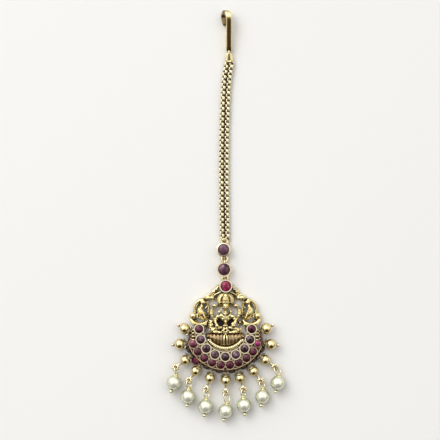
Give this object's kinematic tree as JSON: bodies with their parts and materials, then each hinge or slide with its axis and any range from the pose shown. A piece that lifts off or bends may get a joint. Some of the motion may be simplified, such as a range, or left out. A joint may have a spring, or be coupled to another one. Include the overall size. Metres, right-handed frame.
{
  "type": "maang tikka",
  "caption": "Head jewel: a crescent pendant with stones, figure, gold beads and pearl drops on a double chain with a hair hook.",
  "frame": {"origin": "on the pendant's back, at the centre of the crescent's arcs", "axes": "+Y up the chain to the hair hook, +Z out of the side that shows, +X to the right seen from the front"},
  "size_m": [0.0417, 0.1455, 0.005],
  "materials": {
    "polished_gold": "polished gold plate",
    "chain_gold": "polished gold plate, dark between the links",
    "antique_gold": "antique gold plate, dark in the recesses",
    "ruby_stone": "cut red glass, foiled at the back",
    "pearl": "cream pearl lacquer"
  },
  "bodies": {
    "root": {"hair_hook": "polished_gold", "hook_ring": "polished_gold", "chain_left": "chain_gold", "chain_right": "chain_gold", "chain_end_ring": "polished_gold", "stone_link_upper": "antique_gold", "stone_link_lower": "antique_gold", "link_ring_upper": "antique_gold", "link_ring_lower": "antique_gold", "pendant_frame": "antique_gold", "stone_upper": "ruby_stone", "stone_lower": "ruby_stone", "stone_top": "ruby_stone", "inner_row_stones": "ruby_stone", "outer_row_stones": "ruby_stone", "side_row_stones": "ruby_stone", "bead_cap_1": "antique_gold", "gold_ball_1": "polished_gold", "bead_cap_2": "antique_gold", "gold_ball_2": "polished_gold", "bead_cap_3": "antique_gold", "gold_ball_3": "polished_gold", "bead_cap_4": "antique_gold", "gold_ball_4": "polished_gold", "bead_cap_5": "antique_gold", "gold_ball_5": "polished_gold", "bead_cap_6": "antique_gold", "gold_ball_6": "polished_gold", "bead_cap_7": "antique_gold", "gold_ball_7": "polished_gold", "bead_cap_8": "antique_gold", "gold_ball_8": "polished_gold", "bead_cap_9": "antique_gold", "gold_ball_9": "polished_gold", "bead_cap_10": "antique_gold", "gold_ball_10": "polished_gold", "bead_cap_11": "antique_gold", "gold_ball_11": "polished_gold", "flower_ring_1": "antique_gold", "pearl_1": "pearl", "head_pin_1": "polished_gold", "flower_ring_2": "antique_gold", "pearl_2": "pearl", "head_pin_2": "polished_gold", "flower_ring_3": "antique_gold", "pearl_3": "pearl", "head_pin_3": "polished_gold", "flower_ring_4": "antique_gold", "pearl_4": "pearl", "head_pin_4": "polished_gold", "flower_ring_5": "antique_gold", "pearl_5": "pearl", "head_pin_5": "polished_gold", "flower_ring_6": "antique_gold", "pearl_6": "pearl", "head_pin_6": "polished_gold", "flower_ring_7": "antique_gold", "pearl_7": "pearl", "head_pin_7": "polished_gold"}
  },
  "joints": []
}
